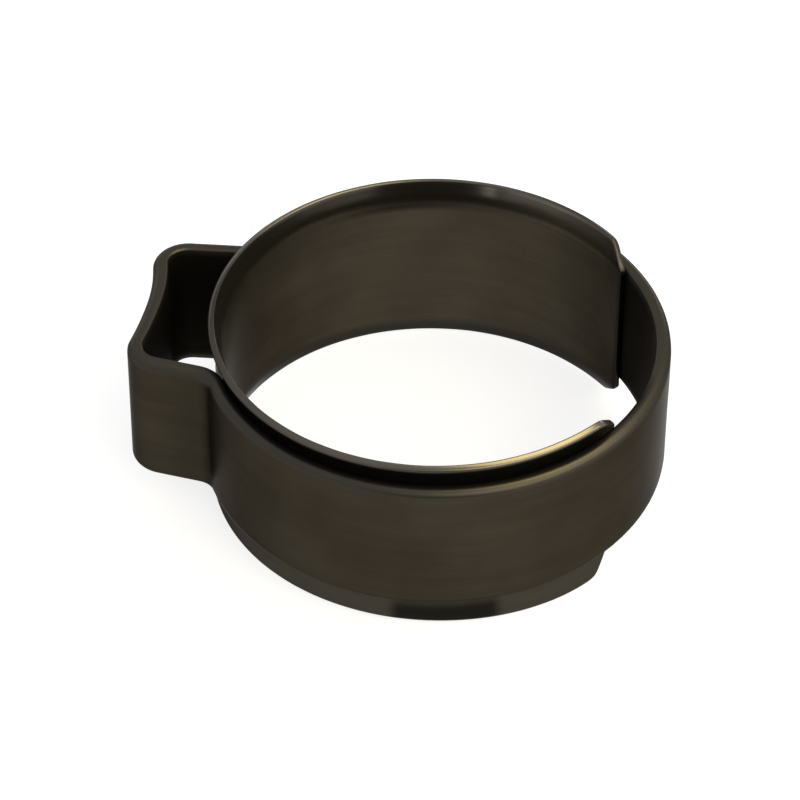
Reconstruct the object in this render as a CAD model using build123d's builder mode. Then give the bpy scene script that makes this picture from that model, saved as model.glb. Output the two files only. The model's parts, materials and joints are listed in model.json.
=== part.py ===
from build123d import *
import os
from math import cos, radians, sin, tan

# Single-ear crimp clamp with a loose insert ring, for a hose on a fitting.
# The clamp is two pieces of stainless strip: a closed band with one formed ear, and a thin
# open ring inside it whose two lips flare outwards and keep the band in place.
# Frame: Z is the axis of the bore, the origin is on it at mid-height, the ear points along -X.
# Sizes are in millimetres, angles in degrees.

# Insert ring
bore_radius = 9.25      # inside of the ring's wall, an 18.5 mm nominal bore
ring_sheet = 0.33       # thickness of the ring's strip
flare_angle = 20.5      # lean of each lip from the axis
flare_bend = 1.20       # bend radius between wall and lip, on the bore side
flare_rise = 1.13       # height of a lip above the place where its bend starts
gap_angle = 65.5        # open arc between the ends of the ring
ring_turn = 5.0         # how far the gap is turned from the point opposite the ear
end_cut_length = 1.15   # corner cut off at each end of a lip, along the lip
end_cut_height = 1.00   # and along the axis

# Band
band_width = 6.40       # along the axis
band_wall = 0.68        # thickness of the band's strip
band_edge = 0.30        # rounding of the strip's two outer long edges
band_edge_inside = 0.20 # bevel of its two inner long edges
band_lift = 0.20        # how far the band sits above the ring's mid-height
seat_clearance = 0.0    # the band sits tight round the ring's wall
flare_clearance = 0.02  # from the start of the band's upper inner bevel to the lip's bend

# Ear
crown_width = 8.38      # outside, across the crown where it meets the legs
leg_lean = 6.0          # lean of each leg, the ear being wider at its root
ear_reach = 13.51       # from the bore's axis to the corners of the crown, on average
crown_skew = 0.25       # how much further than that the +Y corner reaches, and the -Y one less
crown_dent = 0.66       # depth of the hollow in the middle of the crown
crown_bend = 0.88       # bend radius of the crown's corners, inside
root_bend = 0.96        # bend radius where a leg leaves the band, outside

# Where the pieces meet
wall_outside = bore_radius + ring_sheet
band_inside = wall_outside + seat_clearance
band_outside = band_inside + band_wall
bend_start = band_width / 2 + band_lift - band_edge_inside + flare_clearance

os.makedirs("parts", exist_ok=True)


# Insert ring: one profile revolved round the bore, open at the gap
half_flare = radians(flare_angle) / 2
bend_corner = bend_start + flare_bend * tan(half_flare)
lip_height = bend_start + flare_rise
lip_radius = bore_radius + (lip_height - bend_corner) * tan(radians(flare_angle))
ring_arc = 360 - gap_angle
first_end = ring_turn + gap_angle / 2
last_end = ring_turn - gap_angle / 2


def axial_plane(angle):
    """Plane through the bore's axis, its x pointing outwards at this angle and its y up."""
    outwards = (cos(radians(angle)), sin(radians(angle)), 0)
    normal = (sin(radians(angle)), -cos(radians(angle)), 0)
    return Plane(origin=(0, 0, 0), x_dir=outwards, z_dir=normal)


def end_plane(angle, into_ring):
    """Plane on the bore's axis that faces outwards at this angle, its x pointing into the ring."""
    outwards = (cos(radians(angle)), sin(radians(angle)), 0)
    along = (-into_ring * sin(radians(angle)), into_ring * cos(radians(angle)), 0)
    return Plane(origin=(0, 0, 0), x_dir=along, z_dir=outwards)


with BuildPart() as insert_ring:
    with BuildSketch(axial_plane(first_end)):
        with BuildLine():
            bore_side = Polyline(
                (lip_radius, -lip_height),
                (bore_radius, -bend_corner),
                (bore_radius, bend_corner),
                (lip_radius, lip_height),
            )
            fillet(bore_side.vertices().sort_by(Axis.Z)[1:3], radius=flare_bend)
            offset(amount=ring_sheet, side=Side.RIGHT)
        make_face()
    revolve(axis=Axis.Z, revolution_arc=ring_arc)
    # each end of each lip has its corner cut off
    for angle, into_ring in ((first_end, 1), (last_end, -1)):
        for side in (1, -1):
            with BuildSketch(end_plane(angle, into_ring)):
                with BuildLine():
                    Polyline(
                        (0, side * (lip_height - end_cut_height)),
                        (0, side * (lip_height + ring_sheet)),
                        (end_cut_length, side * (lip_height + ring_sheet)),
                        (end_cut_length, side * lip_height),
                        close=True,
                    )
                make_face()
            extrude(amount=2 * band_outside, mode=Mode.SUBTRACT)

insert_ring.part.label = "insert_ring"
export_step(insert_ring.part, "parts/insert_ring.step")


# Band: one closed strip, bent out into the ear. The crown is two arcs that meet in its hollow.
crown_side = crown_width / 2
root_side = crown_side + ear_reach * tan(radians(leg_lean))
hollow = (-ear_reach + crown_dent, 0)
with BuildPart() as ear_band:
    with BuildSketch(Plane.XY.offset(band_lift)) as strip:
        Circle(band_outside)
        with BuildLine():
            long_half = TangentArc(hollow, (-ear_reach - crown_skew, crown_side), tangent=(0, 1))
            short_half = TangentArc(hollow, (-ear_reach + crown_skew, -crown_side), tangent=(0, -1))
            Polyline(long_half @ 1, (0, root_side), (0, -root_side), short_half @ 1)
        make_face()
        crown_corners = strip.vertices().sort_by(Axis.X)[0:2]
        fillet(crown_corners, radius=crown_bend + band_wall)
        roots = strip.vertices().sort_by(Axis.X)[-2:]
        fillet(roots, radius=root_bend)
        offset(amount=-band_wall, mode=Mode.SUBTRACT)
    extrude(amount=band_width / 2, both=True)
    for end_face in ear_band.faces().filter_by(Axis.Z):
        chamfer(end_face.inner_wires()[0].edges(), length=band_edge_inside)
    for end_face in ear_band.faces().filter_by(Axis.Z):
        fillet(end_face.outer_wire().edges(), radius=band_edge)
ear_band.part.label = "ear_band"
export_step(ear_band.part, "parts/ear_band.step")
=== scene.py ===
import json
from math import atan2, cos, degrees, dist, exp, hypot, pi, radians, sin, sqrt, tan

import bpy
from mathutils import Matrix, Vector, noise


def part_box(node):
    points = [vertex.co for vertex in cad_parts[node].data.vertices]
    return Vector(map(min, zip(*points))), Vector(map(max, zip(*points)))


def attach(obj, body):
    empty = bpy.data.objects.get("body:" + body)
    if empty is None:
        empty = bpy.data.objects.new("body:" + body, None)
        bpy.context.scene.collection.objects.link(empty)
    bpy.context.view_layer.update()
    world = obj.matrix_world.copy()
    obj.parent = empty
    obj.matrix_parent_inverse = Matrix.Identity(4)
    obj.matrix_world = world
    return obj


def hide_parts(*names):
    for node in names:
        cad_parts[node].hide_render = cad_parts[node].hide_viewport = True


# The looks of a single-ear hose clamp: a closed band of stainless strip with one crimped ear,
# round a thin open insert ring. Lengths are in millimetres and become metres in the meshes.
# A place round the bore is given in degrees from the side that is nearest in the photo,
# positive to its right.

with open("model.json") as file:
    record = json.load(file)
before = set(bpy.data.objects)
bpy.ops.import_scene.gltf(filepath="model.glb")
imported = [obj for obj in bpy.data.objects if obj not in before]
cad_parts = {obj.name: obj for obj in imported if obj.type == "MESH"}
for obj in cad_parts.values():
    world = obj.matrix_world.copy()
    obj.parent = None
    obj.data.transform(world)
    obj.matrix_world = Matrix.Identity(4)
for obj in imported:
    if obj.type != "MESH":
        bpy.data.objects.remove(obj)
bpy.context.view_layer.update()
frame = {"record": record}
MM = 0.001

# ---------------------------------------------------------------- sizes, as in the CAD frame
BORE_RADIUS = frame["record"]["mounts"][0]["dims"]["r_mm"]
band_low, band_high = [[c / MM for c in corner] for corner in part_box("ear_band")]
ring_high = [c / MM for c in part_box("insert_ring")[1]]
BAND_OUTSIDE = band_high[0]
BAND_HEIGHT = band_high[2] - band_low[2]
BAND_MIDDLE = (band_high[2] + band_low[2]) / 2

RING_SHEET = 0.33
FLARE_ANGLE = radians(20.5)
FLARE_BEND = 2.20
GAP_ANGLE = 65.5
RING_TURN = 5.0
END_CUT_LENGTH = 1.15
END_CUT_HEIGHT = 1.00
END_CUT_ROUND = 0.16
RING_EDGE_INSIDE = 0.07
RING_EDGE_OUTSIDE = 0.15
RING_END_ROUND = 0.09
SMALLEST_ROUND = 0.01

# the lip's rounded corner would fall this much short of its height
LIP_CORNER_LOSS = 0.05
LIP_HEIGHT = ring_high[2] + LIP_CORNER_LOSS
# radius of the lip's edge on the bore side
LIP_RADIUS = ring_high[1] - RING_SHEET * cos(FLARE_ANGLE)
# the strip stands this much higher at both lips near its end on the right
LIP_WAVE = 0.15
LIP_WAVE_PLACE = 45
LIP_WAVE_REACH = 38

BAND_WALL = 0.68
BAND_EDGE = 0.38
BAND_EDGE_INSIDE = 0.12

CROWN_SIDE = 8.38 / 2
LEG_LEAN = radians(6.0)
EAR_REACH = 13.51
CROWN_SKEW = 0.25
CROWN_DENT = 0.66
CROWN_BEND = 0.88 + BAND_WALL
ROOT_BEND = 0.96

# the photo's near side, as an angle round the bore
CAMERA_TURN = radians(10.0)
NEAR_SIDE = CAMERA_TURN - pi / 2

# ---------------------------------------------------------------- mesh fineness
BAND_STEP = 0.16
BAND_FACE_STEPS = 26
BAND_ROUND_STEPS = 6
RING_FACE_STEPS = 52
RING_ROUND_STEPS = 5
WALL_STEPS = 22
BEND_STEPS = 8
LIP_STEPS = 7
# the ring's sections: on the rounding of an end, then beside it, then between the ends
END_STATIONS = (0.0, 0.012, 0.03, 0.055, 0.09)
BESIDE_END_STEP = 0.07
BESIDE_END_COUNT = 19
BETWEEN_ENDS_COUNT = 380

# ---------------------------------------------------------------- unevenness of the strip
# each is its height, how far apart its swells lie, and its seed
BAND_SWELL = (0.012, 3.1, 4.0)
BAND_SWELL_INSIDE_SHARE = 0.4
BAND_EDGE_WAVE = (0.010, 2.3, 9.0)
RING_SWELLS = ((0.010, 3.4, 14.0), (0.006, 1.2, 24.0))
RING_SWELL_RADIUS = 9

# ---------------------------------------------------------------- tones with painted shade, highlights and reflections, 1 for the plain strip
# each change of tone is its place, its width in degrees and its size
# painted shade on the inside of the band, which darkens the ear's hollow, less dark round the right
# side
BAND_INSIDE_PAINTED_SHADE = 0.30
BAND_INSIDE_SHADE_CHANGES = ((90, 12, 0.9),)
BAND_EDGE_TONE = 0.85
# a painted highlight lightening the band's edge at the front right
BAND_EDGE_PAINTED_HIGHLIGHT = ((35, 30, 0.2),)
# painted shade on the inner half of the band's edge, where it lies in the dark beside the ring's
# lip on this stretch
BAND_CHANNEL = (-65, 65, 12)
BAND_CHANNEL_PAINTED_SHADE = 0.7
# painted shade at the ear's roots, darkest in the hollow fold, and a little dark as far as this
# along the leg
ROOT_PAINTED_SHADE = 0.30
ROOT_FOLD = (0.40, 0.80)
ROOT_LEG_SHARE = 0.35
ROOT_LEG = (1.1, 2.2)
ROOT_FADE_ON_ROUND = 2.5

# painted reflections and painted shade that lighten and darken the ring's wall round the bore
RING_WALL_PAINTED_LIGHT = ((180, 35, 0.15), (127, 20, -0.30), (-122, 22, -0.25))
# painted shade on the bend below the upper lip, at the back
RING_BEND_PAINTED_SHADE = ((-172, 20, -0.65),)
# a painted reflection lightening the upper lip's bore side at the back right, and painted shade on
# it at the back
RING_LIP_PAINTED_LIGHT = ((137, 20, 2.5), (-178, 16, -0.25))
# painted shade on the lower lip, on its bore side and less on its outside
RING_LOWER_LIP_PAINTED_SHADE = 0.72
RING_LOWER_LIP_OUTSIDE_PAINTED_SHADE = 0.88
# a painted dark reflection on the outside of the lower lip, on a stretch at the front
RING_LOWER_LIP_DARK_REFLECTION_STRETCH = (-9, 15, 3)
RING_LOWER_LIP_DARK_REFLECTION = 0.62
# painted shade on the outside of the upper lip where it faces the band, with a painted highlight on
# its cut corner
RING_CHANNEL_PAINTED_SHADE = 0.38
RING_CORNER_PAINTED_HIGHLIGHT = (52, 5, 1.9)
# the ring's cut edges are lighter bare metal and also a painted highlight; round the bore painted
# highlights and painted shade lighten and darken them
RING_EDGE_BARE_AND_HIGHLIGHT_TONE = 1.75
RING_EDGE_PAINTED_LIGHT = (
    (-85, 38, -0.42), (-102, 14, -0.13), (180, 14, -0.20), (132, 22, -0.45), (-150, 10, 0.25),
    (32, 24, 0.60),
)
# painted shade darkening the ring towards its cut ends
RING_END_PAINTED_SHADE = 0.5
# heights between which the lip's flare, bend and channel begin, and how far from the ring's
# end and edge its tone turns
RING_FLARE = (3.25, 3.75)
RING_BEND = (2.9, 3.15)
RING_CHANNEL = (2.9, 3.2)
RING_END_FADE = (0.08, 0.20)
RING_EDGE_FADE = (0.04, 0.10)
# shares of the strip's depth between which its sides meet
BAND_SIDES = (0.55, 0.95)
BAND_EDGE_HALVES = (0.50, 0.75)
RING_SIDES = (0.4, 0.6)


# ---------------------------------------------------------------- lines in the plane
def unit(x, y):
    length = hypot(x, y)
    return x / length, y / length


def arc_points(centre, radius, start, end, outward, step):
    """Points along an arc with their outward normals; outward is 1 on a bulge, -1 in a hollow."""
    count = max(2, int(abs(end - start) * radius / step))
    points = []
    for i in range(count + 1):
        angle = start + (end - start) * i / count
        c, s = cos(angle), sin(angle)
        points.append((centre[0] + radius * c, centre[1] + radius * s, outward * c, outward * s))
    return points


def line_points(start, end, normal, step):
    count = max(1, int(dist(start, end) / step))
    shares = [i / count for i in range(count + 1)]
    return [
        (blend(start[0], end[0], share), blend(start[1], end[1], share), *normal)
        for share in shares
    ]


def touching(line_point, line_way, centre, distance):
    """How far along a line from its point the places lie that are this far from a centre."""
    ax, ay = line_point[0] - centre[0], line_point[1] - centre[1]
    along = ax * line_way[0] + ay * line_way[1]
    root = sqrt(along * along - ax * ax - ay * ay + distance * distance)
    return -along - root, -along + root


def running_lengths(points):
    """How far along a line each of its points lies."""
    lengths = [0.0]
    for here, there in zip(points, points[1:]):
        lengths.append(lengths[-1] + dist(here[:2], there[:2]))
    return lengths


def section_loop(depth, height, outer_round, inner_round, face_steps, round_steps):
    """Rounded oblong as (depth from the outer face, height), once round, starting on the outer
    face at the bottom and going up."""

    def corner(centre_depth, centre_height, radius, start):
        angles = [start - pi / 2 * i / round_steps for i in range(round_steps + 1)]
        return [(centre_depth + radius * cos(a), centre_height + radius * sin(a)) for a in angles]

    outer_half = height / 2 - outer_round
    inner_half = height / 2 - inner_round
    inner_depth = depth - inner_round
    loop = [(0.0, outer_half * (2 * i / face_steps - 1)) for i in range(face_steps)]
    loop += corner(outer_round, outer_half, outer_round, pi)
    loop += corner(inner_depth, inner_half, inner_round, pi / 2)
    loop += [(depth, inner_half * (1 - 2 * i / face_steps)) for i in range(1, face_steps)]
    loop += corner(inner_depth, -inner_half, inner_round, 0)
    loop += corner(outer_round, -outer_half, outer_round, -pi / 2)
    return loop[:-1]


# ---------------------------------------------------------------- tones and unevenness
def blend(a, b, share):
    return a + (b - a) * share


def share_between(value, low, high):
    return min(1.0, max(0.0, (value - low) / (high - low)))


def away(angle, place):
    """Degrees from a place to an angle round the bore, from -180 to 180."""
    return (degrees(angle - NEAR_SIDE) - place + 180) % 360 - 180


def near(angle, place, width):
    """1 at a place, fading to nothing over this width each side."""
    return exp(-((away(angle, place) / width) ** 2))


def stretch_of(angle, first, last, soft):
    """1 between two places, fading out over soft degrees at both ends."""
    place = away(angle, 0)
    return share_between(place, first - soft, first) * (1 - share_between(place, last, last + soft))


def changed(angle, changes):
    """1 with changes of tone, each given by its place, its width and its size."""
    return 1.0 + sum(size * near(angle, place, width) for place, width, size in changes)


def unevenness(x, y, z, swell):
    height, scale, seed = swell
    return height * noise.noise(Vector((x / scale + seed, y / scale - seed, z / scale + 2 * seed)))


# ---------------------------------------------------------------- meshes
def wrapped_faces(rows, columns, closed):
    """Faces of a skin made of sections, each of them a closed loop of this many columns."""
    faces = []
    for i in range(rows if closed else rows - 1):
        here, there = i * columns, (i + 1) % rows * columns
        for j in range(columns):
            beside = (j + 1) % columns
            faces.append((here + j, there + j, there + beside, here + beside))
    return faces


def make_mesh(name, vertices, faces, uvs, finish):
    """A smooth piece whose points carry their place on the strip, tone with painted shade and
    painted highlights, polish and dullness.
    """
    mesh = bpy.data.meshes.new(name)
    mesh.from_pydata([[c * MM for c in v] for v in vertices], [], faces)
    layer = mesh.uv_layers.new(name="strip")
    for polygon in mesh.polygons:
        polygon.use_smooth = True
        for corner, vertex in zip(polygon.loop_indices, polygon.vertices):
            layer.data[corner].uv = [length * MM for length in uvs[vertex]]
    for i, label in enumerate(("tone", "polish", "dull")):
        layer = mesh.attributes.new(label, "FLOAT", "POINT")
        for values, vertex in zip(finish, layer.data):
            vertex.value = values[i]
    piece = bpy.data.objects.new(name, mesh)
    bpy.context.scene.collection.objects.link(piece)
    return piece


# ---------------------------------------------------------------- the band
def half_ear(reach):
    """Outside of one half of the ear, from the round band to the hollow of the crown, drawn
    with the ear along +x and this half on the +y side, and the angle at which it starts."""
    hollow = EAR_REACH - CROWN_DENT
    depth = reach - hollow
    crown_radius = (CROWN_SIDE ** 2 + depth ** 2) / (2 * depth)
    crown_centre = (hollow + crown_radius, 0.0)
    way = (-cos(LEG_LEAN), sin(LEG_LEAN))
    normal = (sin(LEG_LEAN), cos(LEG_LEAN))
    corner = (reach, CROWN_SIDE)
    # the crown's bend touches the leg and the crown's arc
    inner_line = (corner[0] - CROWN_BEND * normal[0], corner[1] - CROWN_BEND * normal[1])
    places = touching(inner_line, way, crown_centre, crown_radius + CROWN_BEND)
    t = min(places, key=abs)
    bend = (inner_line[0] + t * way[0], inner_line[1] + t * way[1])
    to_crown = unit(crown_centre[0] - bend[0], crown_centre[1] - bend[1])
    # the root's bend touches the leg and the round band
    outer_line = (corner[0] + ROOT_BEND * normal[0], corner[1] + ROOT_BEND * normal[1])
    t = min(touching(outer_line, way, (0, 0), BAND_OUTSIDE + ROOT_BEND))
    root = (outer_line[0] + t * way[0], outer_line[1] + t * way[1])
    root_angle = atan2(root[1], root[0])
    leg_start = (root[0] - ROOT_BEND * normal[0], root[1] - ROOT_BEND * normal[1])
    leg_end = (bend[0] + CROWN_BEND * normal[0], bend[1] + CROWN_BEND * normal[1])
    leg_angle = atan2(normal[1], normal[0])
    crown_angle = atan2(to_crown[1], to_crown[0])
    fine = BAND_STEP / 2
    points = arc_points(root, ROOT_BEND, root_angle + pi, leg_angle + pi, -1, fine)
    points += line_points(leg_start, leg_end, normal, BAND_STEP)[1:]
    points += arc_points(bend, CROWN_BEND, leg_angle, crown_angle, 1, fine)[1:]
    points += arc_points(crown_centre, crown_radius, crown_angle + pi, pi, -1, BAND_STEP)[1:]
    return points, root_angle


def band_path():
    """The outside of the band, once round, as (x, y, normal x, normal y), and the two places
    where the ear leaves the round part."""
    long_half, long_angle = half_ear(EAR_REACH + CROWN_SKEW)
    short_half, short_angle = half_ear(EAR_REACH - CROWN_SKEW)
    # the ear points along -x: +y is the long half, -y the short one
    upper = [(-x, y, -nx, ny) for x, y, nx, ny in long_half]
    lower = [(-x, -y, -nx, -ny) for x, y, nx, ny in reversed(short_half)]
    start = pi + short_angle
    end = 3 * pi - long_angle
    coarse = BAND_STEP * 1.5
    round_part = arc_points((0, 0), BAND_OUTSIDE, start, end, 1, coarse)
    roots = [(BAND_OUTSIDE * cos(angle), BAND_OUTSIDE * sin(angle)) for angle in (start, end)]
    return round_part[:-1] + upper[:-1] + lower[:-1], roots


def band_finish(x, y, roots, depth_share, edge):
    """Tone, polish and dullness of the band: painted shade in the hollow bends at the ear's roots
    and on the inside, which is also dull, worked smooth along its edges, with painted shade on
    the inner half of the edge beside the ring's lip and a painted highlight on the edge at the
    right."""
    angle = atan2(y, x)
    from_root = min(dist((x, y), root) for root in roots)
    if hypot(x, y) < BAND_OUTSIDE + 0.001:
        from_root *= ROOT_FADE_ON_ROUND
    root = blend(1.0, ROOT_LEG_SHARE, share_between(from_root, *ROOT_FOLD))
    root *= 1 - share_between(from_root, *ROOT_LEG)
    inside = share_between(depth_share, *BAND_SIDES)
    inside_painted_shade = BAND_INSIDE_PAINTED_SHADE * changed(angle, BAND_INSIDE_SHADE_CHANGES)
    tone = blend(1.0 - ROOT_PAINTED_SHADE * root, inside_painted_shade, inside)
    channel = share_between(depth_share, *BAND_EDGE_HALVES) * stretch_of(angle, *BAND_CHANNEL)
    edge_tone = BAND_EDGE_TONE * (1 - BAND_CHANNEL_PAINTED_SHADE * channel)
    edge_tone *= changed(angle, BAND_EDGE_PAINTED_HIGHLIGHT)
    return blend(tone, edge_tone, edge), edge, inside * (1 - edge)


def make_band():
    path, roots = band_path()
    loop = section_loop(
        BAND_WALL, BAND_HEIGHT, BAND_EDGE, BAND_EDGE_INSIDE, BAND_FACE_STEPS, BAND_ROUND_STEPS
    )
    vertices, uvs, finish = [], [], []
    for (x, y, nx, ny), along in zip(path, running_lengths(path)):
        edge_wave = unevenness(x, y, 0.0, BAND_EDGE_WAVE)
        for (depth, up), around in zip(loop, running_lengths(loop)):
            z = BAND_MIDDLE + up
            swell = unevenness(x, y, z, BAND_SWELL)
            if depth >= BAND_WALL / 2:
                swell *= BAND_SWELL_INSIDE_SHARE
            inward = depth - swell
            rise = edge_wave * 2 * up / BAND_HEIGHT
            vertices.append((x - nx * inward, y - ny * inward, z + rise))
            uvs.append((along, around))
            edge = 1 - share_between(BAND_HEIGHT / 2 - abs(up), BAND_EDGE / 2, BAND_EDGE)
            finish.append(band_finish(x, y, roots, depth / BAND_WALL, edge))
    faces = wrapped_faces(len(path), len(loop), closed=True)
    return make_mesh("ear_band_strip", vertices, faces, uvs, finish)


# ---------------------------------------------------------------- the insert ring
def ring_profile():
    """Bore side of the ring's profile from mid-height to the lip's edge, as (radius, height,
    outward normal's radius part and height part)."""
    corner = LIP_HEIGHT - (LIP_RADIUS - BORE_RADIUS) / tan(FLARE_ANGLE)
    bend_start = corner - FLARE_BEND * tan(FLARE_ANGLE / 2)
    bend_end = corner + FLARE_BEND * tan(FLARE_ANGLE / 2) * cos(FLARE_ANGLE)
    bend_end_radius = BORE_RADIUS + FLARE_BEND * (1 - cos(FLARE_ANGLE))
    points = [(BORE_RADIUS, bend_start * i / WALL_STEPS, 1.0, 0.0) for i in range(WALL_STEPS)]
    for i in range(BEND_STEPS):
        angle = FLARE_ANGLE * i / BEND_STEPS
        radius = BORE_RADIUS + FLARE_BEND * (1 - cos(angle))
        points.append((radius, bend_start + FLARE_BEND * sin(angle), cos(angle), -sin(angle)))
    longest = 1 + LIP_WAVE / (LIP_HEIGHT - bend_end)
    for i in range(LIP_STEPS + 1):
        share = i / LIP_STEPS * longest
        radius = blend(bend_end_radius, LIP_RADIUS, share)
        height = blend(bend_end, LIP_HEIGHT, share)
        points.append((radius, height, cos(FLARE_ANGLE), -sin(FLARE_ANGLE)))
    return points


def profile_at(points, lengths, length):
    """The profile's point at a length from mid-height, mirrored below it."""
    side = 1 if length >= 0 else -1
    wanted = min(abs(length), lengths[-1])
    i = 0
    while i < len(lengths) - 2 and lengths[i + 1] < wanted:
        i += 1
    share = (wanted - lengths[i]) / (lengths[i + 1] - lengths[i])
    radius, height, nr, nz = [blend(a, b, share) for a, b in zip(points[i], points[i + 1])]
    return radius, side * height, nr, side * nz


def ring_finish(angle, height, depth_share, edge, from_end):
    """Tone, polish and dullness of the ring: the lips are burnished by the flaring tool and the cut
    edges are bare, lighter metal; painted shade, painted highlights and painted reflections lighten
    and darken the wall, lips, channel, edges and ends round the bore."""
    flare = share_between(abs(height), *RING_FLARE)
    bore_side = share_between(depth_share, *RING_SIDES)
    wall = changed(angle, RING_WALL_PAINTED_LIGHT)
    if height > 0:
        lip = blend(1.0, changed(angle, RING_LIP_PAINTED_LIGHT), bore_side)
        bend = share_between(height, *RING_BEND) * (1 - flare)
        wall *= blend(1.0, changed(angle, RING_BEND_PAINTED_SHADE), bend)
    else:
        shade = RING_LOWER_LIP_DARK_REFLECTION * stretch_of(angle, *RING_LOWER_LIP_DARK_REFLECTION_STRETCH)
        lip = blend(RING_LOWER_LIP_OUTSIDE_PAINTED_SHADE - shade, RING_LOWER_LIP_PAINTED_SHADE, bore_side)
    tone = blend(wall, lip, flare)
    place, width, size = RING_CORNER_PAINTED_HIGHLIGHT
    channel_painted_light = RING_CHANNEL_PAINTED_SHADE + size * near(angle, place, width)
    tone = blend(tone, channel_painted_light, share_between(height, *RING_CHANNEL) * (1 - bore_side))
    tone = blend(tone, RING_EDGE_BARE_AND_HIGHLIGHT_TONE * changed(angle, RING_EDGE_PAINTED_LIGHT), edge)
    tone *= blend(RING_END_PAINTED_SHADE, 1.0, share_between(from_end, *RING_END_FADE))
    return tone, max(flare, edge), 0.0


def ring_stations(arc_length):
    """How far from the ring's first end its sections lie."""
    near_end = list(END_STATIONS)
    near_end += [near_end[-1] + BESIDE_END_STEP * i for i in range(1, BESIDE_END_COUNT + 1)]
    first = near_end[-1]
    step = (arc_length - 2 * first) / BETWEEN_ENDS_COUNT
    between = [first + step * i for i in range(1, BETWEEN_ENDS_COUNT)]
    return near_end + between + [arc_length - s for s in reversed(near_end)]


def ring_end_faces(rows, columns):
    """Faces that close both ends, each joining the outer side to the place across the strip."""
    faces = []
    across = 2 * RING_FACE_STEPS + 2 * RING_ROUND_STEPS + 1
    for row, flip in ((0, False), (rows - 1, True)):
        for j in range(-RING_ROUND_STEPS, RING_FACE_STEPS + RING_ROUND_STEPS):
            corners = (j, j + 1, across - j - 1, across - j)
            quad = [row * columns + corner % columns for corner in corners]
            faces.append(tuple(reversed(quad)) if flip else tuple(quad))
    return faces


def make_ring():
    points = ring_profile()
    lengths = running_lengths(points)
    wave_length = LIP_WAVE / cos(FLARE_ANGLE)
    mean_radius = BORE_RADIUS + RING_SHEET
    arc_length = radians(360 - GAP_ANGLE) * mean_radius
    first_angle = radians(RING_TURN + GAP_ANGLE / 2)
    stations = ring_stations(arc_length)
    vertices, uvs, finish = [], [], []
    for station in stations:
        angle = first_angle + station / mean_radius
        c, s = cos(angle), sin(angle)
        from_end = min(station, arc_length - station)
        # the strip's edge drops towards its end where the lip's corner is cut off
        cut = END_CUT_HEIGHT * (1 - from_end / END_CUT_LENGTH)
        drop = (cut + hypot(cut, END_CUT_ROUND)) / 2
        half = lengths[-1] - drop - wave_length * (1 - near(angle, LIP_WAVE_PLACE, LIP_WAVE_REACH))
        thin = 0.0
        if from_end < RING_END_ROUND:
            thin = RING_END_ROUND - sqrt(RING_END_ROUND ** 2 - (RING_END_ROUND - from_end) ** 2)
        half -= thin
        outer_round = max(SMALLEST_ROUND, RING_EDGE_OUTSIDE - thin)
        inner_round = max(SMALLEST_ROUND, RING_EDGE_INSIDE - thin)
        loop = section_loop(
            RING_SHEET - 2 * thin, 2 * half, outer_round, inner_round, RING_FACE_STEPS,
            RING_ROUND_STEPS,
        )
        for (depth, along), around in zip(loop, running_lengths(loop)):
            radius, height, nr, nz = profile_at(points, lengths, along)
            swell_place = (c * RING_SWELL_RADIUS, s * RING_SWELL_RADIUS, height)
            out = RING_SHEET - thin - depth
            out += sum(unevenness(*swell_place, swell) for swell in RING_SWELLS)
            out_radius = radius + nr * out
            z = height + nz * out
            vertices.append((out_radius * c, out_radius * s, z))
            uvs.append((station, around))
            edge = 1 - share_between(half - abs(along), *RING_EDGE_FADE)
            finish.append(ring_finish(angle, z, depth / RING_SHEET, edge, from_end))
    rows, columns = len(stations), len(loop)
    faces = wrapped_faces(rows, columns, closed=False) + ring_end_faces(rows, columns)
    return make_mesh("insert_ring_strip", vertices, faces, uvs, finish)


# ---------------------------------------------------------------- nodes
# sockets of the Mix node, for numbers and for colours
MIX_A, MIX_B, MIX_RESULT = 2, 3, 0
COLOUR_A, COLOUR_B, COLOUR_RESULT = 6, 7, 2


def node(tree, kind, **values):
    """A new node; each value goes to the input of that name, or else to the node's setting."""
    made = tree.nodes.new(kind)
    for key, value in values.items():
        if key in made.inputs:
            made.inputs[key].default_value = value
        else:
            setattr(made, key, value)
    return made


def math_result(tree, operation, a, b):
    """The result of a Math node; a is an output, b an output or a number."""
    made = node(tree, "ShaderNodeMath", operation=operation)
    tree.links.new(a, made.inputs[0])
    if isinstance(b, float):
        made.inputs[1].default_value = b
    else:
        tree.links.new(b, made.inputs[1])
    return made.outputs[0]


def range_result(tree, source, to_range, from_range=(0.0, 1.0)):
    made = node(tree, "ShaderNodeMapRange")
    made.inputs["From Min"].default_value, made.inputs["From Max"].default_value = from_range
    made.inputs["To Min"].default_value, made.inputs["To Max"].default_value = to_range
    tree.links.new(source, made.inputs["Value"])
    return made.outputs["Result"]


def mix_result(tree, share, a, b):
    """From the output a to the number b, by this share."""
    made = node(tree, "ShaderNodeMix")
    made.inputs[MIX_B].default_value = b
    tree.links.new(share, made.inputs[0])
    tree.links.new(a, made.inputs[MIX_A])
    return made.outputs[MIX_RESULT]


def seen_result(tree):
    """1 for what the camera sees, also by reflection or through glass, and 0 for light."""
    path = node(tree, "ShaderNodeLightPath")
    seen = path.outputs["Is Camera Ray"]
    for ray in ("Is Glossy Ray", "Is Transmission Ray"):
        seen = math_result(tree, "MAXIMUM", seen, path.outputs[ray])
    return seen


def new_material(name):
    material = bpy.data.materials.new(name)
    material.use_nodes = True
    return material, material.node_tree


# ---------------------------------------------------------------- the steel
METALLIC = 0.82
EDGE_TINT = (0.46, 0.46, 0.47, 1)
DULL_ROUGHNESS = 0.62
# cloudy tone, a few millimetres across
CLOUD_SCALE = 260.0
CLOUD_RANGE = (0.30, 0.72)
CLOUD_ROUGHNESS = (-0.06, 0.08)
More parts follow.
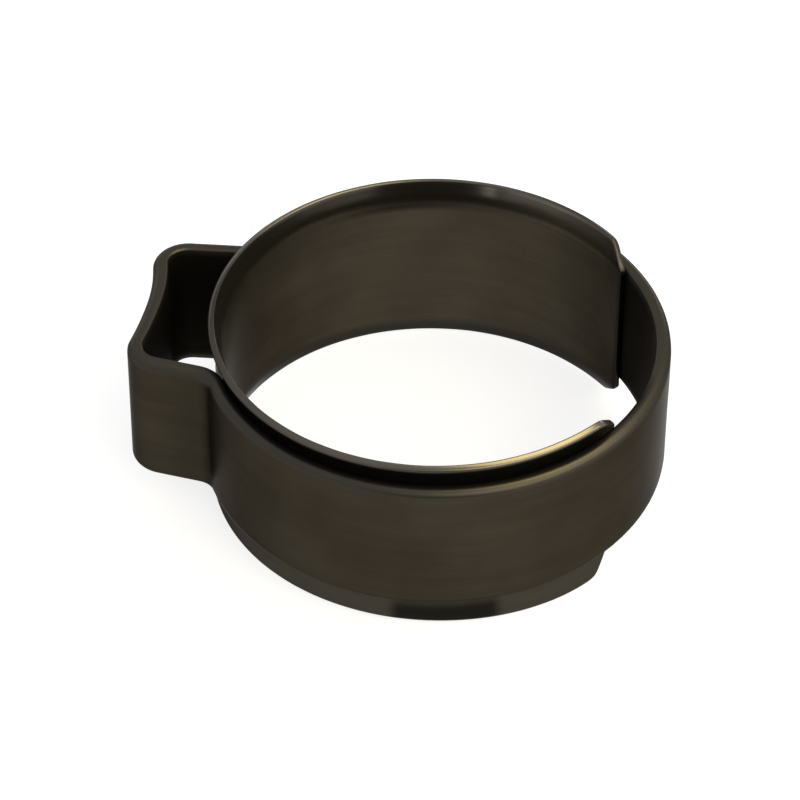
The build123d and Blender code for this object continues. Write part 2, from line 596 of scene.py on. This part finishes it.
# marks per metre along and across the strip: its grain, and softer and broader roll marks
GRAIN_SCALE = (260.0, 14000.0, 1.0)
GRAIN_DEPTH = 3e-7
ROLL_SCALE = (70.0, 1500.0, 1.0)
# from the noise's usual range to the factor that it puts on the tone
MARK_NOISE = (0.3, 0.7)
MARK_TONE = (0.93, 1.06)


def strip_noise(tree, strip, scale, detail, roughness):
    """Noise drawn out along the strip."""
    stretch = node(tree, "ShaderNodeMapping", Scale=scale)
    tree.links.new(strip.outputs["UV"], stretch.inputs["Vector"])
    marks = node(tree, "ShaderNodeTexNoise", Scale=1.0, Detail=detail, Roughness=roughness)
    tree.links.new(stretch.outputs["Vector"], marks.inputs["Vector"])
    return marks.outputs["Fac"]


def steel(name, colour, dark, polished, roughness, polished_roughness):
    """Rolled stainless strip: fine grain along the strip and a cloudy tone. The mesh's tone, which
    holds painted shade, painted highlights and painted reflections, darkens or lightens it, and its
    polish turns to the smoother, greyer worked metal."""
    material, tree = new_material(name)
    links = tree.links
    shader = tree.nodes["Principled BSDF"]
    shader.inputs["Metallic"].default_value = METALLIC
    shader.inputs["Specular IOR Level"].default_value = 0.0
    shader.inputs["Specular Tint"].default_value = EDGE_TINT
    place = node(tree, "ShaderNodeTexCoord")
    strip = node(tree, "ShaderNodeUVMap", uv_map="strip")
    tone, polish, dull = [
        node(tree, "ShaderNodeAttribute", attribute_name=label).outputs["Fac"]
        for label in ("tone", "polish", "dull")
    ]

    cloud = node(tree, "ShaderNodeTexNoise", Scale=CLOUD_SCALE, Detail=2.5, Roughness=0.45)
    links.new(place.outputs["Object"], cloud.inputs["Vector"])
    ramp = node(tree, "ShaderNodeValToRGB")
    for stop, position, stop_colour in zip(ramp.color_ramp.elements, CLOUD_RANGE, (dark, colour)):
        stop.position = position
        stop.color = (*stop_colour, 1)
    links.new(cloud.outputs["Fac"], ramp.inputs["Fac"])
    worked = node(tree, "ShaderNodeMix", data_type="RGBA")
    worked.inputs[COLOUR_B].default_value = (*polished, 1)
    links.new(polish, worked.inputs[0])
    links.new(ramp.outputs["Color"], worked.inputs[COLOUR_A])

    grain = strip_noise(tree, strip, GRAIN_SCALE, detail=3.0, roughness=0.6)
    rolled = strip_noise(tree, strip, ROLL_SCALE, detail=2.0, roughness=0.5)
    streaks = range_result(tree, grain, MARK_TONE, MARK_NOISE)
    roll_marks = range_result(tree, rolled, MARK_TONE, MARK_NOISE)
    marks = math_result(tree, "MULTIPLY", streaks, roll_marks)
    level = math_result(tree, "MULTIPLY", tone, marks)
    toned = node(tree, "ShaderNodeMix", data_type="RGBA", blend_type="MULTIPLY")
    toned.inputs[0].default_value = 1.0
    links.new(worked.outputs[COLOUR_RESULT], toned.inputs[COLOUR_A])
    links.new(level, toned.inputs[COLOUR_B])
    links.new(toned.outputs[COLOUR_RESULT], shader.inputs["Base Color"])

    rough_range = [roughness + change for change in CLOUD_ROUGHNESS]
    rough = range_result(tree, cloud.outputs["Fac"], rough_range)
    smoothed = mix_result(tree, polish, rough, polished_roughness)
    links.new(mix_result(tree, dull, smoothed, DULL_ROUGHNESS), shader.inputs["Roughness"])
    bump = node(tree, "ShaderNodeBump", Strength=1.0, Distance=GRAIN_DEPTH)
    links.new(grain, bump.inputs["Height"])
    links.new(bump.outputs["Normal"], shader.inputs["Normal"])
    return material


# ---------------------------------------------------------------- floor and light
FLOOR_SIZE = 3.0
FLOOR_GREY = (0.42, 0.42, 0.42, 1)
# added to the floor's own shade where it is seen, so that it shows white
FLOOR_GLOW = 0.77
SKY_LIGHT = 0.55
SKY_SEEN = 1.0
LAMP_DISTANCE = 0.60


def make_square(name, size, height=0.0):
    """A flat square or oblong about the origin, facing up."""
    half_wide, half_deep = size[0] / 2, size[1] / 2
    signs = ((-1, -1), (1, -1), (1, 1), (-1, 1))
    mesh = bpy.data.meshes.new(name)
    corners = [(x * half_wide, y * half_deep, height) for x, y in signs]
    mesh.from_pydata(corners, [], [(0, 1, 2, 3)])
    square = bpy.data.objects.new(name, mesh)
    bpy.context.scene.collection.objects.link(square)
    return square


def face_clamp(thing, direction, distance):
    """Puts a lamp or card in this direction from the clamp and turns it to the clamp."""
    way = Vector(direction).normalized()
    thing.location = way * distance
    thing.rotation_euler = way.to_track_quat("Z", "Y").to_euler()


def make_floor(height):
    floor = make_square("floor", (FLOOR_SIZE, FLOOR_SIZE), height)
    material, tree = new_material("pale_floor")
    tree.nodes.clear()
    out = node(tree, "ShaderNodeOutputMaterial")
    matt = node(tree, "ShaderNodeBsdfDiffuse", Color=FLOOR_GREY)
    glow = node(tree, "ShaderNodeEmission")
    glow_level = math_result(tree, "MULTIPLY", seen_result(tree), FLOOR_GLOW)
    tree.links.new(glow_level, glow.inputs["Strength"])
    both = node(tree, "ShaderNodeAddShader")
    tree.links.new(matt.outputs[0], both.inputs[0])
    tree.links.new(glow.outputs[0], both.inputs[1])
    tree.links.new(both.outputs[0], out.inputs["Surface"])
    floor.data.materials.append(material)


def make_world():
    world = bpy.data.worlds.new("studio")
    world.use_nodes = True
    bpy.context.scene.world = world
    tree = world.node_tree
    sky = tree.nodes["Background"]
    sky.inputs["Color"].default_value = (1, 1, 1, 1)
    strength = range_result(tree, seen_result(tree), (SKY_LIGHT, SKY_SEEN))
    tree.links.new(strength, sky.inputs["Strength"])


def soft_box(name, direction, size, radiance, colour=(1, 1, 1), on_matt=True):
    """A lamp that faces the clamp and looks this bright from it; one that isn't on matt things
    is seen only in the polished metal."""
    light = bpy.data.lights.new(name, "AREA")
    light.shape = "RECTANGLE"
    light.size, light.size_y = size
    light.energy = radiance * pi * size[0] * size[1]
    light.color = colour
    lamp = bpy.data.objects.new(name, light)
    lamp.visible_diffuse = on_matt
    face_clamp(lamp, direction, LAMP_DISTANCE)
    bpy.context.scene.collection.objects.link(lamp)


def make_flag(name, direction, distance, size, level):
    """A card that only reflections see, as photographers stand beside polished metal."""
    flag = make_square(name, size)
    face_clamp(flag, direction, distance)
    flag.visible_camera = False
    flag.visible_diffuse = False
    flag.visible_shadow = False
    material, tree = new_material(name)
    tree.nodes.clear()
    out = node(tree, "ShaderNodeOutputMaterial")
    glow = node(tree, "ShaderNodeEmission", Strength=level)
    tree.links.new(glow.outputs[0], out.inputs["Surface"])
    flag.data.materials.append(material)


# ---------------------------------------------------------------- camera
CAMERA_ELEVATION = radians(41.234)
CAMERA_ROLL = radians(0.497)
CAMERA_DISTANCE = 165.233
FOCAL_PIXELS = 3756.22
IMAGE_PIXELS = 800
SENSOR_WIDTH = 36.0
AIM_RIGHT = -1.5038
AIM_UP = -0.3134


def make_camera():
    turn = Matrix.Rotation(CAMERA_TURN, 3, "Z")
    right = turn @ Vector((1, 0, 0))
    up = turn @ Vector((0, sin(CAMERA_ELEVATION), cos(CAMERA_ELEVATION)))
    ahead = turn @ Vector((0, cos(CAMERA_ELEVATION), -sin(CAMERA_ELEVATION)))
    place = right * AIM_RIGHT + up * AIM_UP - ahead * CAMERA_DISTANCE
    rolled_right = right * cos(CAMERA_ROLL) + up * sin(CAMERA_ROLL)
    rolled_up = up * cos(CAMERA_ROLL) - right * sin(CAMERA_ROLL)
    lens = bpy.data.cameras.new("camera")
    lens.sensor_width = SENSOR_WIDTH
    lens.lens = FOCAL_PIXELS / IMAGE_PIXELS * SENSOR_WIDTH
    lens.clip_start = 0.01
    lens.clip_end = 20.0
    camera = bpy.data.objects.new("camera", lens)
    axes = Matrix((rolled_right, rolled_up, -ahead)).transposed().to_4x4()
    camera.matrix_world = Matrix.Translation(place * MM) @ axes
    bpy.context.scene.collection.objects.link(camera)
    bpy.context.scene.camera = camera


# ---------------------------------------------------------------- the scene
band_steel = steel(
    "band_steel_finish",
    colour=(0.046, 0.039, 0.029),
    dark=(0.034, 0.028, 0.020),
    polished=(0.050, 0.046, 0.038),
    roughness=0.32,
    polished_roughness=0.34,
)
ring_steel = steel(
    "ring_steel_finish",
    colour=(0.056, 0.047, 0.034),
    dark=(0.040, 0.033, 0.024),
    polished=(0.054, 0.049, 0.041),
    roughness=0.27,
    polished_roughness=0.19,
)

band = make_band()
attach(band, "root")
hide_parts("ear_band")
band.data.materials.append(band_steel)

ring = make_ring()
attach(ring, "root")
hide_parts("insert_ring")
ring.data.materials.append(ring_steel)

make_floor(min(v.co.z for v in ring.data.vertices))
make_world()
soft_box("back_window", (-0.45, 0.85, 0.22), size=(0.50, 0.16), radiance=2.2)
soft_box("back_right_window", (0.26, 0.96, 0.12), size=(0.20, 0.12), radiance=7.0)
soft_box(
    "right_bank", (0.66, -0.28, 0.66), size=(0.86, 0.50), radiance=2.8, colour=(1.0, 0.89, 0.58)
)
soft_box(
    "warm_lamp", (0.28, 0.21, 0.93), size=(0.36, 0.30), radiance=6.5, colour=(1.0, 0.84, 0.32),
    on_matt=False,
)
make_flag("front_card", (0.15, -1.0, 0.10), distance=0.50, size=(0.60, 0.24), level=0.05)
make_flag("front_glint", (-0.27, -1.0, 0.10), distance=0.47, size=(0.05, 0.06), level=3.5)
make_camera()
bpy.context.scene.view_settings.view_transform = "Standard"
